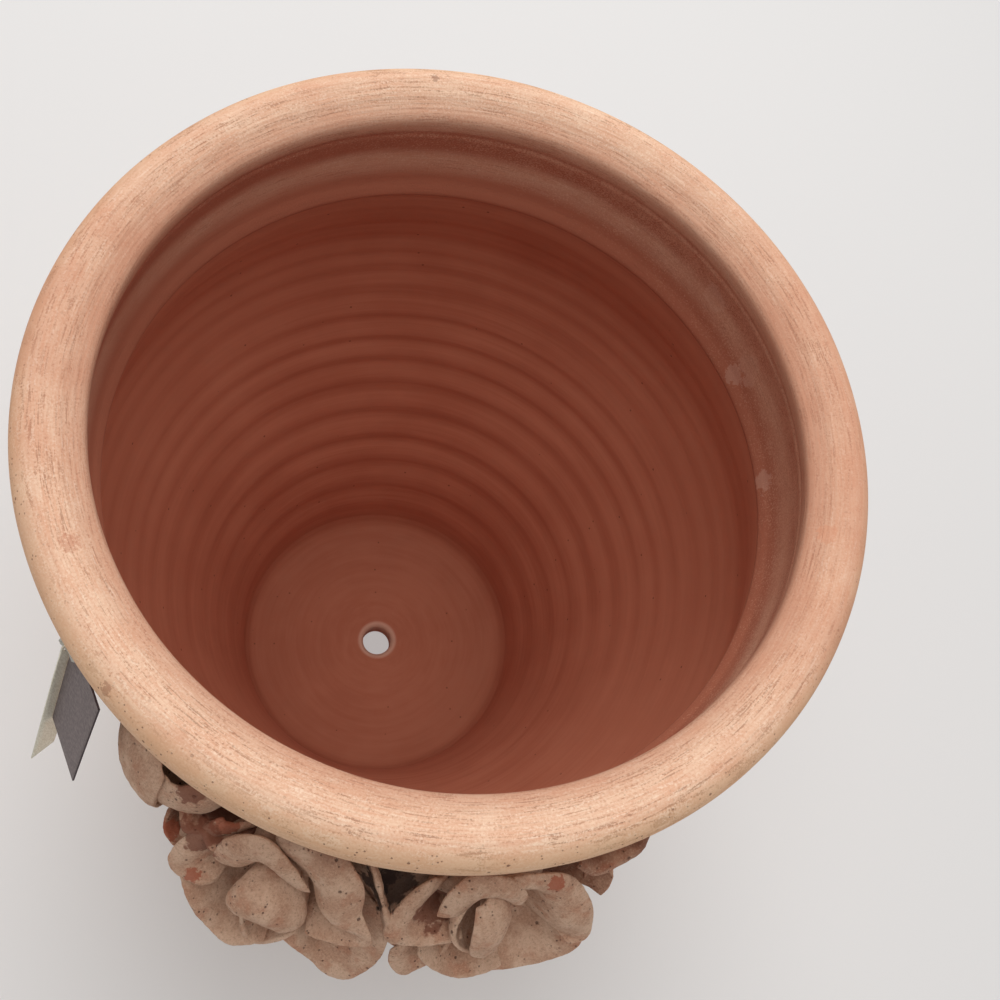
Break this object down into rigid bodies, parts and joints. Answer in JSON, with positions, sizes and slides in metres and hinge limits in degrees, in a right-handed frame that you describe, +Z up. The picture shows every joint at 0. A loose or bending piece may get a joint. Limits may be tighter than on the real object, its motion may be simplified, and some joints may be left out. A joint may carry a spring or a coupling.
{
  "type": "strawberry jar planter",
  "caption": "Round wheel-thrown terracotta planter with a broad flat rim, applied clay roses and leaves under the rim, and a card and paper label on a thread.",
  "frame": {"origin": "centre of the drain hole on the underside of the base", "axes": "+Z up along the pot's axis, -Y towards the flowers at the front, +X to the right seen from the front"},
  "size_m": [0.283, 0.3159, 0.322],
  "materials": {
    "thrown_clay_body": "matt unglazed terracotta with throwing rings",
    "brushed_clay_rim": "matt unglazed clay with a pale brushed bloom",
    "flower_clay": "matt grainy unglazed clay",
    "leaf_clay": "matt grainy unglazed clay",
    "card": "matt dark grey card",
    "paper": "matt fibrous cream paper",
    "thread": "fine white cotton thread",
    "knotted_thread": "fine dark cotton thread, knotted"
  },
  "bodies": {
    "pot": {"pot_body": "thrown_clay_body", "rim_collar": "brushed_clay_rim", "middle_rose_pad": "flower_clay", "middle_rose_hood": "flower_clay", "middle_rose_fold": "flower_clay", "middle_rose_petal_1": "flower_clay", "middle_rose_petal_2": "flower_clay", "middle_rose_petal_3": "flower_clay", "middle_rose_petal_4": "flower_clay", "middle_rose_petal_5": "flower_clay", "middle_rose_petal_6": "flower_clay", "middle_rose_petal_7": "flower_clay", "middle_rose_petal_8": "flower_clay", "right_rose_pad": "flower_clay", "right_rose_hood": "flower_clay", "right_rose_fold": "flower_clay", "right_rose_petal_1": "flower_clay", "right_rose_petal_2": "flower_clay", "right_rose_petal_3": "flower_clay", "right_rose_petal_4": "flower_clay", "right_rose_petal_5": "flower_clay", "right_rose_petal_6": "flower_clay", "right_rose_petal_7": "flower_clay", "right_rose_petal_8": "flower_clay", "left_bud_pad": "flower_clay", "left_bud_core": "flower_clay", "left_bud_petal_1": "flower_clay", "left_bud_petal_2": "flower_clay", "left_bud_petal_3": "flower_clay", "left_bud_petal_4": "flower_clay", "leaf_between": "leaf_clay", "leaf_low_left": "leaf_clay", "leaf_right": "leaf_clay", "leaf_right_curl": "leaf_clay", "leaf_pierced": "leaf_clay"},
    "thread": {"tag_thread": "thread", "loop_knot": "knotted_thread", "end_knot": "knotted_thread"},
    "card": {"tag_card": "card"},
    "label": {"paper_label": "paper"}
  },
  "joints": [
    {"name": "thread_swing", "type": "hinge", "parent": "pot", "child": "thread", "pos_m": [-0.10618, -0.08752, 0.2915], "axis": [-0.6361, 0.7716, 0], "range_deg": [-4, 35]},
    {"name": "card_swing", "type": "hinge", "parent": "thread", "child": "card", "pos_m": [-0.1045, -0.0933, 0.2841], "axis": [-0.8269, -0.4826, 0.2886], "range_deg": [0, 10]},
    {"name": "label_swing", "type": "hinge", "parent": "thread", "child": "label", "pos_m": [-0.1092, -0.09, 0.283], "axis": [-0.8129, 0.5818, 0.0271], "range_deg": [0, 20]}
  ]
}
